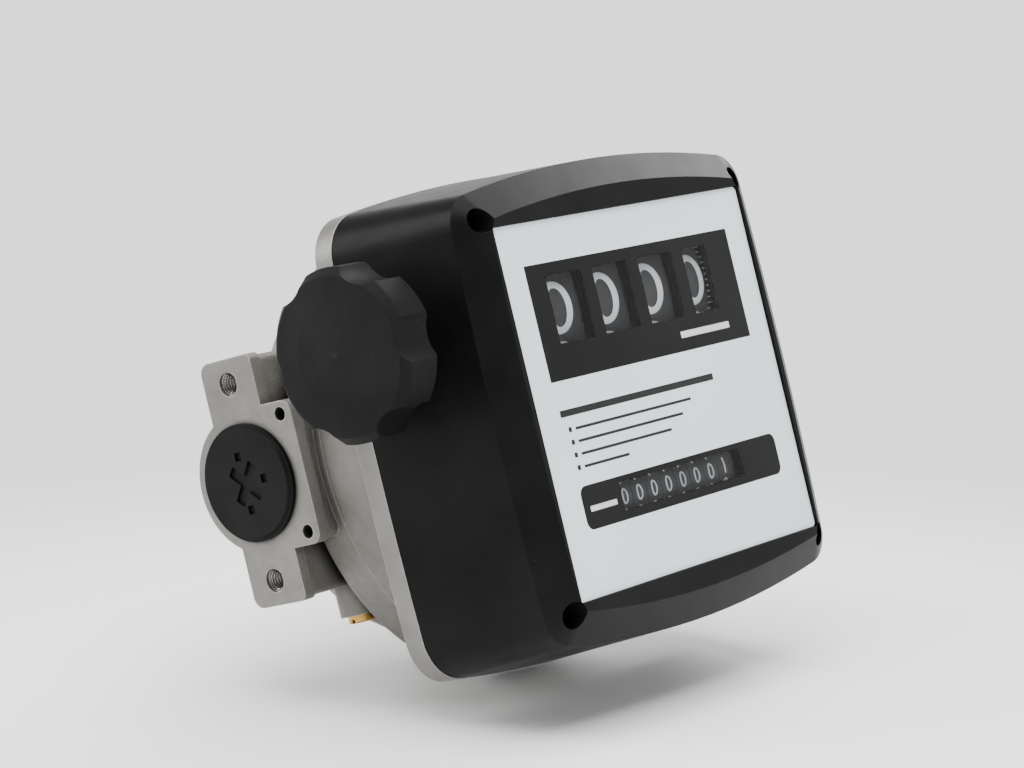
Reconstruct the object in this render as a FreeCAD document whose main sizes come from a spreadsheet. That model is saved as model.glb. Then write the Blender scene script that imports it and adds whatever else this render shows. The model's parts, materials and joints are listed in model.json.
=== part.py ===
"""Mechanical disc meter: nutating chamber, gear train, resettable counter and totaliser.

The frame has its origin at the centre of the back mounting face, on the chamber axis. X runs
from the inlet to the outlet, Z is up, and the dial looks towards -Y. A "station" is a distance
forward of the back face, so station 51 lies at y = -51.
"""
import FreeCAD, Part
import math
import os
import Sketcher
from FreeCAD import Placement, Rotation, Vector

os.makedirs("parts", exist_ok=True)
doc = FreeCAD.newDocument("disc_meter")
sheet = doc.addObject("Spreadsheet::Sheet", "dims")

DIMENSIONS = {
    # castings
    "floor_station": 8.0,
    "shoulder_station": 37.0,
    "seam_station": 51.0,
    "web_station": 59.5,
    "plate_back": 68.2,
    "plate_front": 75.4,
    "ring_radius": 83.0,
    "housing_front_radius": 82.2,
    "drum_radius": 70.0,
    "drum_back_radius": 56.5,
    "chamber_bore": 46.25,
    "plenum_radius": 54.0,
    "plenum_rib": 5.0,
    "seal_groove_inner": 61.0,
    "seal_groove_depth": 3.0,
    "upper_screw_x": 64.5,
    "upper_screw_z": 28.0,
    "lower_screw_x": 58.0,
    "lower_screw_z": -39.0,
    "body_screw_seat": 70.2,
    "back_hole_place": 30.0,
    # ports
    "port_face": 91.0,
    "port_station": 24.5,
    "port_boss_radius": 23.5,
    "port_passage": 12.5,
    "port_bore": 15.2,
    "port_bore_depth": 18.0,
    "port_root": 55.0,
    "block_front": 49.0,
    "block_half_height": 23.8,
    "lug_front": 36.5,
    "lug_back": 13.3,
    "lug_half_height": 41.2,
    "flange_thickness": 5.0,
    "flange_step": 0.8,
    "flange_bolt_height": 32.9,
    "flange_bolt_radius": 4.0,
    "flange_bolt_depth": 16.0,
    "guard_hole_station": 44.1,
    "guard_hole_height": 19.5,
    "guard_hole_radius": 2.3,
    "plug_head_radius": 19.6,
    "plug_head": 2.4,
    "plug_shank": 15.0,
    "boss_x": -61.0,
    "boss_station": 31.0,
    "boss_radius": 7.3,
    "boss_bottom": -51.0,
    # measuring chamber
    "chamber_radius": 46.0,
    "chamber_half": 16.5,
    "sphere_radius": 38.0,
    "ball_radius": 11.0,
    "disc_radius": 37.6,
    "disc_thickness": 2.4,
    "tilt": 13.0,
    "spindle_radius": 3.0,
    "spindle_length": 24.5,
    "partition_thickness": 1.6,
    "crank_radius": 9.5,
    "shaft_radius": 3.0,
    # cover and dial
    "cover_front": 122.2,
    "cover_rim": 129.0,
    "cover_inner_front": 118.6,
    "glass_back": 126.0,
    "glass_front": 128.0,
    "glass_half_width": 67.1,
    "glass_half_height": 60.0,
    "cover_screw_x": 69.7,
    "cover_screw_z": 63.1,
    "cover_screw_seat": 107.0,
    # counters
    "counter_station": 93.3,
    "counter_height": 31.85,
    "wheel_radius": 31.5,
    "wheel_pitch": 24.8,
    "total_station": 113.7,
    "total_height": -32.0,
    "total_radius": 11.0,
    "total_pitch": 8.05,
    "side_plate_x": 51.0,
    "side_plate_thickness": 1.5,
    "cross_station": 69.2,
    "cross_height": -14.5,
    "carry_module": 1.6,
    "train_module": 1.0,
    "fine_module": 0.8,
    # reset knob
    "knob_radius": 27.8,
    "knob_back": -96.0,
    "knob_front": -111.5,
}
WHEEL_COUNT = 4
TOTAL_COUNT = 8


def fill_sheet():
    """Writes each driving dimension beside its name and gives the cell that name."""
    for row, (name, number) in enumerate(DIMENSIONS.items(), start=1):
        sheet.set(f"A{row}", name)
        sheet.set(f"B{row}", str(number))
        sheet.setAlias(f"B{row}", name)
    doc.recompute()


def size(expression):
    """The number that an expression over the sheet has now."""
    return float(sheet.evalExpression(str(expression)))


def bind(item, **expressions):
    for name, expression in expressions.items():
        item.setExpression(name.replace("__", "."), str(expression))


def place(item, x=0, y=0, z=0):
    """Binds an object's placement to expressions."""
    for axis, expression in zip("xyz", (x, y, z)):
        item.setExpression(f"Placement.Base.{axis}", str(expression))


def new_body(name):
    body = doc.addObject("PartDesign::Body", name)
    body.Label = name
    return body


def new_sketch(body, name, plane, offset=0, turn=0.0):
    """A sketch on one of the body's origin planes, moved along the plane's normal."""
    sketch = body.newObject("Sketcher::SketchObject", f"{body.Name}_{name}")
    support = next(item for item in body.Origin.OriginFeatures if item.Role == f"{plane}_Plane")
    sketch.AttachmentSupport = (support, [""])
    sketch.MapMode = "FlatFace"
    sketch.AttachmentOffset = Placement(Vector(0, 0, 0), Rotation(Vector(0, 0, 1), turn))
    sketch.setExpression("AttachmentOffset.Base.z", str(offset))
    return sketch


def fix_point(sketch, geometry, point, x, y):
    """Ties a point of the sketch to its two coordinates."""
    for kind, expression in (("DistanceX", x), ("DistanceY", y)):
        number = size(expression)
        index = sketch.addConstraint(Sketcher.Constraint(kind, -1, 1, geometry, point, number))
        if isinstance(expression, str):
            sketch.setExpression(f"Constraints[{index}]", expression)


def circle(sketch, radius, x=0, y=0):
    centre = Vector(size(x), size(y), 0)
    shape = sketch.addGeometry(Part.Circle(centre, Vector(0, 0, 1), size(radius)))
    fix_point(sketch, shape, 3, x, y)
    index = sketch.addConstraint(Sketcher.Constraint("Radius", shape, size(radius)))
    if isinstance(radius, str):
        sketch.setExpression(f"Constraints[{index}]", radius)


def polygon(sketch, points):
    corners = [Vector(size(x), size(y), 0) for x, y in points]
    lines = []
    for start, end in zip(corners, corners[1:] + corners[:1]):
        lines.append(sketch.addGeometry(Part.LineSegment(start, end)))
    for line, following in zip(lines, lines[1:] + lines[:1]):
        sketch.addConstraint(Sketcher.Constraint("Coincident", line, 2, following, 1))
    for line, (x, y) in zip(lines, points):
        fix_point(sketch, line, 1, x, y)


def rectangle(sketch, low_x, high_x, low_y, high_y):
    polygon(sketch, [(low_x, low_y), (high_x, low_y), (high_x, high_y), (low_x, high_y)])


def arc(sketch, centre, radius, start, end):
    """An arc between two angles in degrees, running anticlockwise."""
    full = Part.Circle(Vector(*centre, 0), Vector(0, 0, 1), radius)
    sketch.addGeometry(Part.ArcOfCircle(full, math.radians(start), math.radians(end)))


def rounded_rectangle(sketch, low_x, high_x, low_y, high_y, radii):
    """Corner radii run anticlockwise from the low corner."""
    corners = [(low_x, low_y), (high_x, low_y), (high_x, high_y), (low_x, high_y)]
    inward = [(1, 1), (-1, 1), (-1, -1), (1, -1)]
    ends = []
    for index, ((x, y), (dx, dy), radius) in enumerate(zip(corners, inward, radii)):
        centre = (x + dx * radius, y + dy * radius)
        start = 180 + 90 * index
        arc(sketch, centre, radius, start, start + 90)
        entry = [centre[0] + radius * math.cos(math.radians(start)),
                 centre[1] + radius * math.sin(math.radians(start))]
        leave = [centre[0] + radius * math.cos(math.radians(start + 90)),
                 centre[1] + radius * math.sin(math.radians(start + 90))]
        ends.append((entry, leave))
    for (entry, leave), (following, _) in zip(ends, ends[1:] + ends[:1]):
        sketch.addGeometry(Part.LineSegment(Vector(*leave, 0), Vector(*following, 0)))


def crowned_outline(sketch, half_width, crown, crown_radius, side_radius, corner):
    """The cover's outline: bowed top and bottom, almost straight sides, round corners."""
    top = Vector(0, crown - crown_radius, 0)
    side = Vector(half_width - side_radius, 0, 0)
    gap = side - top
    reach_top = crown_radius - corner
    reach_side = side_radius - corner
    along = (reach_top ** 2 - reach_side ** 2 + gap.Length ** 2) / (2 * gap.Length)
    across = math.sqrt(reach_top ** 2 - along ** 2)
    unit = gap / gap.Length
    candidates = [top + unit * along + Vector(-unit.y, unit.x, 0) * across * sign
                  for sign in (1, -1)]
    centre = max(candidates, key=lambda point: point.x + point.y)
    top_angle = math.degrees(math.atan2(centre.y - top.y, centre.x - top.x))
    side_angle = math.degrees(math.atan2(centre.y - side.y, centre.x - side.x))
    for quarter, flip in enumerate(((1, 1), (-1, 1), (-1, -1), (1, -1))):
        middle = (centre.x * flip[0], centre.y * flip[1])
        first, last = (side_angle, top_angle) if quarter % 2 == 0 else (180 - top_angle, 180 - side_angle)
        turn = 180 if quarter > 1 else 0
        arc(sketch, middle, corner, first + turn, last + turn)
        if quarter % 2 == 0:
            arc(sketch, (0, top.y * flip[1]), crown_radius, top_angle + turn, 180 - top_angle + turn)
        else:
            low, high = 180 - side_angle + turn, 180 + side_angle + turn
            arc(sketch, (side.x * flip[0], 0), side_radius, low, high)


def pad(sketch, name, length, backwards=False):
    body = sketch.getParentGeoFeatureGroup()
    feature = body.newObject("PartDesign::Pad", f"{body.Name}_{name}")
    feature.Profile = sketch
    feature.Reversed = backwards
    feature.setExpression("Length", str(length))
    return feature


def pocket(sketch, name, length, backwards=False):
    """Cuts against the sketch's normal, or along it when backwards."""
    body = sketch.getParentGeoFeatureGroup()
    feature = body.newObject("PartDesign::Pocket", f"{body.Name}_{name}")
    feature.Profile = sketch
    feature.Reversed = backwards
    feature.setExpression("Length", str(length))
    return feature


def loft(kind, name, first, second):
    body = first.getParentGeoFeatureGroup()
    feature = body.newObject(f"PartDesign::{kind}Loft", f"{body.Name}_{name}")
    feature.Profile = first
    feature.Sections = [second]
    feature.Ruled = True
    return feature


def revolve(body, name, plane, axis, points):
    sketch = new_sketch(body, f"{name}_profile", plane)
    polygon(sketch, points)
    feature = body.newObject("PartDesign::Revolution", f"{body.Name}_{name}")
    feature.Profile = sketch
    feature.ReferenceAxis = (sketch, [axis])
    feature.Angle = 360
    return feature


def repeat_round(body, name, feature, sketch, count):
    pattern = body.newObject("PartDesign::PolarPattern", f"{body.Name}_{name}")
    pattern.Originals = [feature]
    pattern.Axis = (sketch, ["N_Axis"])
    pattern.Angle = 360
    pattern.Occurrences = count
    body.Tip = pattern
    return pattern


def gear_radii(teeth, module):
    pitch = teeth * size(module) / 2
    return pitch, pitch + 0.8 * size(module), pitch - 1.05 * size(module)


def cut_teeth(body, name, station, width, teeth, module, phase=0.0):
    """Cuts the gaps of a spur gear into its blank, with one gap centred at the phase angle."""
    pitch, outer, root = gear_radii(teeth, module)
    step = math.pi * size(module) / pitch
    low = root * step / 2 - 0.85 * size(module)
    high = outer * step / 2 - 0.35 * size(module)
    slope = (high - low) / (outer - root)
    reach = outer + 0.4 * size(module)
    wide = high + slope * (reach - outer)
    sketch = new_sketch(body, f"{name}_gap", "YZ", station, phase)
    polygon(sketch, [(root, -low), (reach, -wide), (reach, wide), (root, low)])
    gap = pocket(sketch, f"{name}_cut", width)
    repeat_round(body, f"{name}_teeth", gap, sketch, teeth)


def add_gear(body, name, left, width, teeth, module, phase=0.0):
    """A gear on the body's X axis, from the left station over its width."""
    sketch = new_sketch(body, f"{name}_disc", "YZ", left)
    circle(sketch, gear_radii(teeth, module)[1])
    pad(sketch, f"{name}_blank", width)
    cut_teeth(body, name, f"{left} + {width}", width, teeth, module, phase)


def heading(start, end):
    """The direction from one shaft to another, from +Y towards +Z, in degrees."""
    return math.degrees(math.atan2(end[1] - start[1], end[0] - start[0]))


def facing_phase(teeth, towards):
    """The phase that points a tooth in the given direction."""
    return towards + 180.0 / teeth


def meeting_phase(teeth, phase, towards, partner_teeth):
    """The partner's phase whose teeth sit in this gear's gaps along their line of centres."""
    step = 360.0 / teeth
    lag = (phase - towards) % step
    return towards + 180 - (lag - step / 2) * teeth / partner_teeth


def third_shaft(first, second, first_distance, second_distance, side):
    """The point at two given distances from two shafts, on the chosen side of their line."""
    gap = math.dist(first, second)
    along = (first_distance ** 2 - second_distance ** 2 + gap ** 2) / (2 * gap)
    across = math.sqrt(first_distance ** 2 - along ** 2) * side
    unit = ((second[0] - first[0]) / gap, (second[1] - first[1]) / gap)
    return (first[0] + unit[0] * along - unit[1] * across,
            first[1] + unit[1] * along + unit[0] * across)


fill_sheet()

# ---------------------------------------------------------------- castings and ports


def port_section(body, name, side, face, length, inset):
    """One length of the port's outline: block, lug and round boss, run in towards the drum."""
    axis = -size("dims.port_station")
    block_front = -size("dims.block_front") + inset
    block_height = size("dims.block_half_height") - inset
    lug_height = size("dims.lug_half_height") - inset
    lug = (-size("dims.lug_front") + inset, -size("dims.lug_back") - inset)
    offset = f"{side} * ({face})"
    backwards = side > 0
    block = new_sketch(body, f"{name}_block", "YZ", offset)
    rounded_rectangle(block, block_front, axis, -block_height, block_height, (4, 1, 1, 4))
    pad(block, f"{name}_block_pad", length, backwards)
    ears = new_sketch(body, f"{name}_lug", "YZ", offset)
    rounded_rectangle(ears, lug[0], lug[1], -lug_height, lug_height, (2.5, 4, 4, 2.5))
    pad(ears, f"{name}_lug_pad", length, backwards)
    boss = new_sketch(body, f"{name}_boss", "YZ", offset)
    circle(boss, f"dims.port_boss_radius - {inset}", "-dims.port_station")
    pad(boss, f"{name}_boss_pad", length, backwards)


def port_holes(body, name, side):
    """The threaded bore, the passage behind it, and the holes in the face."""
    offset = f"{side} * dims.port_face"
    outwards = side < 0
    bore = new_sketch(body, f"{name}_bore", "YZ", offset)
    circle(bore, "dims.port_bore", "-dims.port_station")
    pocket(bore, f"{name}_bore_cut", "dims.port_bore_depth", outwards)
    passage = new_sketch(body, f"{name}_passage", "YZ", offset)
    circle(passage, "dims.port_passage", "-dims.port_station")
    pocket(passage, f"{name}_passage_cut", "dims.port_face - 50", outwards)
    bolts = new_sketch(body, f"{name}_bolts", "YZ", offset)
    guards = new_sketch(body, f"{name}_guards", "YZ", offset)
    for sign in ("", "-"):
        circle(bolts, "dims.flange_bolt_radius", "-dims.port_station", f"{sign}dims.flange_bolt_height")
        circle(guards, "dims.guard_hole_radius", "-dims.guard_hole_station",
               f"{sign}dims.guard_hole_height")
    pocket(bolts, f"{name}_bolt_holes", "dims.flange_bolt_depth", outwards)
    pocket(guards, f"{name}_guard_holes", 8, outwards)


def four_circles(sketch, radius, x, y):
    for sign_x in ("", "-"):
        for sign_y in ("", "-"):
            circle(sketch, radius, f"{sign_x}{x}", f"{sign_y}{y}")


def body_screw_places(sketch, radius):
    for level in ("upper", "lower"):
        for sign in ("", "-"):
            circle(sketch, radius, f"{sign}dims.{level}_screw_x", f"dims.{level}_screw_z")


def make_meter_body():
    body = new_body("meter_body")
    revolve(body, "drum", "XY", "V_Axis", [
        (0, "-dims.seam_station"), ("dims.ring_radius", "-dims.seam_station"),
        ("dims.ring_radius", "-dims.shoulder_station - 2"),
        ("dims.ring_radius - 2", "-dims.shoulder_station"),
        ("dims.drum_radius", "-dims.shoulder_station"), ("dims.drum_radius", -18),
        ("dims.drum_radius - 4", -9), ("dims.drum_back_radius + 2", -1.5),
        ("dims.drum_back_radius", 0), (0, 0)])
    for name, side in (("inlet", -1), ("outlet", 1)):
        port_section(body, f"{name}_flange", side, "dims.port_face", "dims.flange_thickness", 0.0)
        port_section(body, f"{name}_neck", side, "dims.port_face - dims.flange_thickness",
                     "dims.port_face - dims.flange_thickness - dims.port_root",
                     size("dims.flange_step"))
    boss = new_sketch(body, "calibration_boss", "XY", "dims.boss_bottom")
    circle(boss, "dims.boss_radius", "dims.boss_x", "-dims.boss_station")
    pad(boss, "calibration_pad", 14)
    bore = new_sketch(body, "chamber_bore", "XZ", "dims.seam_station")
    circle(bore, "dims.chamber_bore")
    pocket(bore, "chamber_cut", "dims.seam_station - dims.floor_station")
    for name, turn in (("inlet_plenum", 90), ("outlet_plenum", -90)):
        plenum = new_sketch(body, name, "XZ", "dims.seam_station", turn)
        inner = size("dims.chamber_bore") - 1
        outer = size("dims.plenum_radius")
        rib = size("dims.plenum_rib")
        inner_angle = math.degrees(math.asin(rib / inner))
        outer_angle = math.degrees(math.asin(rib / outer))
        arc(plenum, (0, 0), outer, outer_angle, 180 - outer_angle)
        arc(plenum, (0, 0), inner, inner_angle, 180 - inner_angle)
        for sign in (1, -1):
            far = Vector(sign * math.sqrt(outer ** 2 - rib ** 2), rib, 0)
            near = Vector(sign * math.sqrt(inner ** 2 - rib ** 2), rib, 0)
            plenum.addGeometry(Part.LineSegment(near, far))
        pocket(plenum, f"{name}_cut", "dims.seam_station - dims.floor_station - 2")
    for name, side in (("inlet", -1), ("outlet", 1)):
        port_holes(body, name, side)
    groove = new_sketch(body, "seal_groove", "XZ", "dims.seam_station")
    circle(groove, "dims.seal_groove_inner")
    circle(groove, "dims.seal_groove_inner + 3")
    pocket(groove, "seal_cut", "dims.seal_groove_depth")
    screws = new_sketch(body, "screw_holes", "XZ", "dims.seam_station")
    body_screw_places(screws, 2.95)
    pocket(screws, "screw_cut", 12)
    plug = new_sketch(body, "calibration_hole", "XY", "dims.boss_bottom")
    circle(plug, 4, "dims.boss_x", "-dims.boss_station")
    pocket(plug, "calibration_cut", 9, True)
    back = new_sketch(body, "back_holes", "XZ")
    four_circles(back, 2.1, "dims.back_hole_place", "dims.back_hole_place")
    pocket(back, "back_cut", 6, True)
    return body


def mechanism_opening(body, name, offset, depth):
    """The opening that clears the counter wheels, the worm wheel and the side train."""
    sketch = new_sketch(body, name, "XZ", offset)
    polygon(sketch, [(-16, -32), (67, -32), (67, 22), (58.8, 22), (58.8, 52), (50.2, 59),
                     (-50.2, 59), (-50.2, 4), (-16, 4)])
    pocket(sketch, f"{name}_cut", depth)


def make_gear_housing():
    body = new_body("gear_housing")
    revolve(body, "drum", "XY", "V_Axis", [
        (0, "-dims.seam_station"), (39, "-dims.seam_station"), (39, "0.1 - dims.floor_station - 33.2"),
        ("dims.chamber_bore - 0.4", "0.1 - dims.floor_station - 33.2"),
        ("dims.chamber_bore - 0.4", "-dims.seam_station"), ("dims.ring_radius", "-dims.seam_station"),
        ("dims.housing_front_radius", "-dims.plate_back"), (0, "-dims.plate_back")])
    mechanism_opening(body, "opening", "dims.plate_back", "dims.plate_back - dims.web_station")
    relief = new_sketch(body, "worm_wheel_relief", "XZ", "dims.web_station")
    rectangle(relief, -3.5, 3.5, -22, -7)
    pocket(relief, "relief_cut", 2)
    for name, radius, start, depth in (("bush_bore", 5, "dims.web_station", 5),
                                       ("seal_bore", 8, "dims.seam_station + 4", 4)):
        sketch = new_sketch(body, name, "XZ", start)
        circle(sketch, radius)
        pocket(sketch, f"{name}_cut", depth)
    screws = new_sketch(body, "screw_holes", "XZ", "dims.plate_back")
    body_screw_places(screws, 3.2)
    pocket(screws, "screw_cut", 20)
    return body


def make_base_plate():
    body = new_body("base_plate")
    outline = new_sketch(body, "outline", "XZ", "dims.plate_back")
    crowned_outline(outline, 85.5, 81.8, 500, 1400, 16)
    pad(outline, "plate", "dims.plate_front - dims.plate_back")
    mechanism_opening(body, "opening", "dims.plate_front", 8)
    screws = new_sketch(body, "screw_holes", "XZ", "dims.plate_front")
    body_screw_places(screws, 3.2)
    four_circles(screws, 2.5, "dims.cover_screw_x", "dims.cover_screw_z")
    pocket(screws, "screw_cut", 8)
    heads = new_sketch(body, "counterbores", "XZ", "dims.plate_front")
    body_screw_places(heads, 5.2)
    pocket(heads, "counterbore_cut", "dims.plate_front - dims.body_screw_seat")
    return body


def make_body_seal():
    """A ring with eight flats round its section, four of which seat in the groove and on the housing."""
    body = new_body("body_seal")
    reach = 1.48 / math.cos(math.pi / 8)
    corners = []
    for index in range(8):
        angle = math.radians(45 * index + 22.5)
        corners.append((f"dims.seal_groove_inner + 1.5 + {reach * math.cos(angle):.4f}",
                        f"1.5 - dims.seam_station + {reach * math.sin(angle):.4f}"))
    revolve(body, "ring", "XY", "V_Axis", corners)
    return body


def make_body_screws():
    screws = []
    corners = ((1, "upper"), (-1, "upper"), (-1, "lower"), (1, "lower"))
    for number, (side, level) in enumerate(corners, start=1):
        body = new_body(f"body_screw_{number}")
        shank = new_sketch(body, "shank", "XZ", -30)
        circle(shank, 2.9)
        pad(shank, "shank_pad", 30)
        head = new_sketch(body, "head", "XZ")
        circle(head, 5)
        pad(head, "head_pad", 5)
        socket = new_sketch(body, "socket", "XZ", 5)
        circle(socket, 2.4)
        pocket(socket, "socket_cut", 2.5)
        place(body, f"{side} * dims.{level}_screw_x", "-dims.body_screw_seat", f"dims.{level}_screw_z")
        screws.append(body)
    return screws


def make_port_plug(name, side):
    """A moulded screw plug: hollow shank, and a broad head stepped at its rim."""
    body = new_body(name)
    face = "dims.port_face"
    revolve(body, "plug", "XY", "H_Axis", [
        (f"{side} * ({face} - dims.plug_shank)", 11.5), (f"{side} * ({face} - dims.plug_shank)", 14.4),
        (f"{side} * ({face} - dims.plug_shank + 0.7)", 15.1), (f"{side} * {face}", 15.1),
        (f"{side} * {face}", "dims.plug_head_radius"),
        (f"{side} * ({face} + dims.plug_head - 0.9)", "dims.plug_head_radius"),
        (f"{side} * ({face} + dims.plug_head - 0.9)", "dims.plug_head_radius - 1"),
        (f"{side} * ({face} + dims.plug_head)", "dims.plug_head_radius - 1.5"),
        (f"{side} * ({face} + dims.plug_head)", 0), (f"{side} * ({face} - 1)", 0),
        (f"{side} * ({face} - 1)", 11.5)])
    for number, (turn, half) in enumerate(((41, 7.5), (127, 7.6)), start=1):
        bar = new_sketch(body, f"bar_{number}", "YZ", f"{side} * ({face} + dims.plug_head)", turn)
        rectangle(bar, -half, half, -1.9, 1.9)
        pocket(bar, f"bar_{number}_cut", 0.9, side < 0)
    corners = new_sketch(body, "corner_recesses", "YZ", f"{side} * ({face} + dims.plug_head)")
    for y, z in ((0.9, 9.1), (-8.4, 0.5), (0.3, -8.7)):
        rectangle(corners, y - 1.4, y + 1.4, z - 1.4, z + 1.4)
    pocket(corners, "corner_cut", 0.9, side < 0)
    place(body, y="-dims.port_station")
    return body


def make_inlet_strainer():
    body = new_body("inlet_strainer")
    revolve(body, "basket", "XY", "H_Axis", [
        (-74.2, 11.3), (-74.2, 14.8), (-73, 14.8), (-73, 12.3), (-55.5, 10.3), (-55.5, 0),
        (-56.5, 0), (-56.5, 9.4), (-72.8, 11.3)])
    place(body, y="-dims.port_station")
    return body


def make_calibration_plug():
    body = new_body("calibration_plug")
    revolve(body, "plug", "XZ", "V_Axis", [
        (0, 8), (3.2, 8), (3.9, 7.2), (3.9, 0), (5, 0), (5, -2.2), (4.5, -2.7), (0, -2.7)])
    slot = new_sketch(body, "slot", "XY", -2.7)
    rectangle(slot, -6, 6, -0.6, 0.6)
    pocket(slot, "slot_cut", 1.4, True)
    place(body, "dims.boss_x", "-dims.boss_station", "dims.boss_bottom")
    return body


# ---------------------------------------------------------------- measuring chamber


def solid(kind, name, **expressions):
    """A Part primitive with its sizes bound to the sheet."""
    item = doc.addObject(f"Part::{kind}", name)
    bind(item, **expressions)
    return item


def boolean(kind, name, base, tool):
    item = doc.addObject(f"Part::{kind}", name)
    item.Base = base
    item.Tool = tool
    return item


def union(name, *parts):
    item = doc.addObject("Part::MultiFuse", name)
    item.Shapes = list(parts)
    return item


FORWARD = Rotation(Vector(1, 0, 0), 90)


def turned(item, x=0, station=0, z=0, turn=FORWARD):
    """Points a primitive's own axis forward and puts its base at a station."""
    item.Placement = Placement(Vector(0, 0, 0), turn)
    place(item, x, f"-({station})", z)
    return item


def make_cavity():
    """The space the disc sweeps: a ball between two shallow cones, with a ball socket."""
    centre = "dims.port_station"
    sphere = turned(solid("Sphere", "cavity_sphere", Radius="dims.sphere_radius"), station=centre)
    cone_gap = "(dims.disc_thickness / 2 + 0.4)"
    front = solid("Cone", "cavity_front_cone", Radius1=0, Radius2="40 / tan(dims.tilt)", Height=40)
    turned(front, station=f"{centre} + {cone_gap}")
    back = solid("Cone", "cavity_back_cone", Radius1=0, Radius2="40 / tan(dims.tilt)", Height=40)
    turned(back, station=f"{centre} - {cone_gap}", turn=Rotation(Vector(1, 0, 0), -90))
    cones = union("cavity_cones", front, back)
    zone = boolean("Cut", "cavity_zone", sphere, cones)
    socket = turned(solid("Sphere", "cavity_socket", Radius="dims.ball_radius + 0.25"), station=centre)
    return union("cavity", zone, socket)


def make_windows():
    """The inlet and outlet windows, one on each side of the partition."""
    cutters = []
    for name, start in (("outlet", 14), ("inlet", -52)):
        wedge = solid("Cylinder", f"{name}_wedge", Radius=47, Height=15, Angle=38)
        turn = Rotation(Vector(1, 0, 0), 90) * Rotation(Vector(0, 0, 1), 90 - start - 38)
        turned(wedge, station="dims.port_station - 7.5", turn=turn)
        core = turned(solid("Cylinder", f"{name}_core", Radius=37, Height=15),
                      station="dims.port_station - 7.5")
        cutters.append(boolean("Cut", f"{name}_window", wedge, core))
    return union("windows", *cutters)


def make_chamber():
    cavity = make_cavity()
    windows = make_windows()
    slot = solid("Box", "partition_slot", Length="dims.partition_thickness + 0.1", Width=25, Height=34)
    place(slot, "-dims.partition_thickness / 2 - 0.05", "-dims.port_station - 12.5", 8.5)
    swing = solid("Cone", "spindle_swing", Radius1=3.4, Radius2=9.2, Height=24)
    turned(swing, station="dims.port_station")
    cutters = union("chamber_cutters", cavity, windows, slot)
    base_blank = solid("Cylinder", "base_blank", Radius="dims.chamber_radius", Height="dims.chamber_half")
    turned(base_blank, station="dims.floor_station")
    base = boolean("Cut", "chamber_base", base_blank, cutters)
    lid_blank = solid("Cylinder", "lid_blank", Radius="dims.chamber_radius", Height="dims.chamber_half")
    turned(lid_blank, station="dims.port_station")
    lid_cut = boolean("Cut", "lid_cut", lid_blank, cutters)
    lid = boolean("Cut", "chamber_lid", lid_cut, swing)
    plate = solid("Box", "partition_blank", Length="dims.partition_thickness", Width=24, Height=33)
    place(plate, "-dims.partition_thickness / 2", "-dims.port_station - 12", 9)
    ball = turned(solid("Sphere", "partition_ball", Radius="dims.ball_radius + 0.3"),
                  station="dims.port_station")
    partition = boolean("Cut", "partition_plate", plate, ball)
    return [base, lid, partition]


def make_nutating_disc():
    """The slotted disc on its ball, with the spindle that the crank leads round."""
    tilt = Rotation(Vector(1, 0, 0), 90 + size("dims.tilt"))
    ball = solid("Sphere", "disc_ball", Radius="dims.ball_radius")
    web = solid("Cylinder", "disc_web", Radius="dims.disc_radius", Height="dims.disc_thickness")
    place(web, z="-dims.disc_thickness / 2")
    spindle = solid("Cylinder", "disc_spindle", Radius="dims.spindle_radius",
                    Height="dims.spindle_length")
    blank = union("disc_blank", ball, web, spindle)
    slot = solid("Box", "disc_slot", Length="dims.partition_thickness + 2.2", Width=30, Height=8)
    place(slot, "-dims.partition_thickness / 2 - 1.1", "dims.ball_radius - 0.4", -4)
    disc = boolean("Cut", "nutating_disc", blank, slot)
    disc.Placement = Placement(Vector(0, 0, 0), tilt)
    place(disc, y="-dims.port_station")
    return disc


def make_drive_crank():
    """The crank disc, its forward shaft, and the leaning hole that holds the spindle."""
    disc = turned(solid("Cylinder", "crank_disc", Radius="dims.crank_radius", Height=4.8), station=44.5)
    shaft = turned(solid("Cylinder", "crank_shaft", Radius="dims.shaft_radius", Height=26.5), station=49)
    blank = union("crank_blank", disc, shaft)
    hole = solid("Cylinder", "crank_hole", Radius="dims.spindle_radius + 0.08", Height=25.6)
    turned(hole, station="dims.port_station", turn=Rotation(Vector(1, 0, 0), 90 + size("dims.tilt")))
    return boolean("Cut", "drive_crank", blank, hole)


def make_ring(name, outer, inner, station, height):
    """A plain bush or seal on the chamber axis."""
    body = new_body(name)
    sketch = new_sketch(body, "section", "XZ", station)
    circle(sketch, outer)
    circle(sketch, inner)
    pad(sketch, "ring", height)
    return body


def make_drive_worm():
    """A single-start worm: a root cylinder with one helical thread run along it."""
    body = new_body("drive_worm")
    root = new_sketch(body, "root", "XZ", -4.8)
    circle(root, 3.4)
    circle(root, "dims.shaft_radius")
    pad(root, "root_pad", 9.6)
    tooth = new_sketch(body, "thread_section", "XY")
    polygon(tooth, [(3.2, 3.3), (5.3, 3.65), (5.3, 4.25), (3.2, 4.6)])
    thread = body.newObject("PartDesign::AdditiveHelix", "drive_worm_thread")
    thread.Profile = tooth
    thread.ReferenceAxis = (tooth, ["V_Axis"])
    thread.Mode = 0
    thread.Pitch = math.pi * size("dims.train_module")
    thread.Height = 8
    thread.Reversed = True
    place(body, y="-dims.cross_station")
    return body


# ---------------------------------------------------------------- cover and dial


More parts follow.
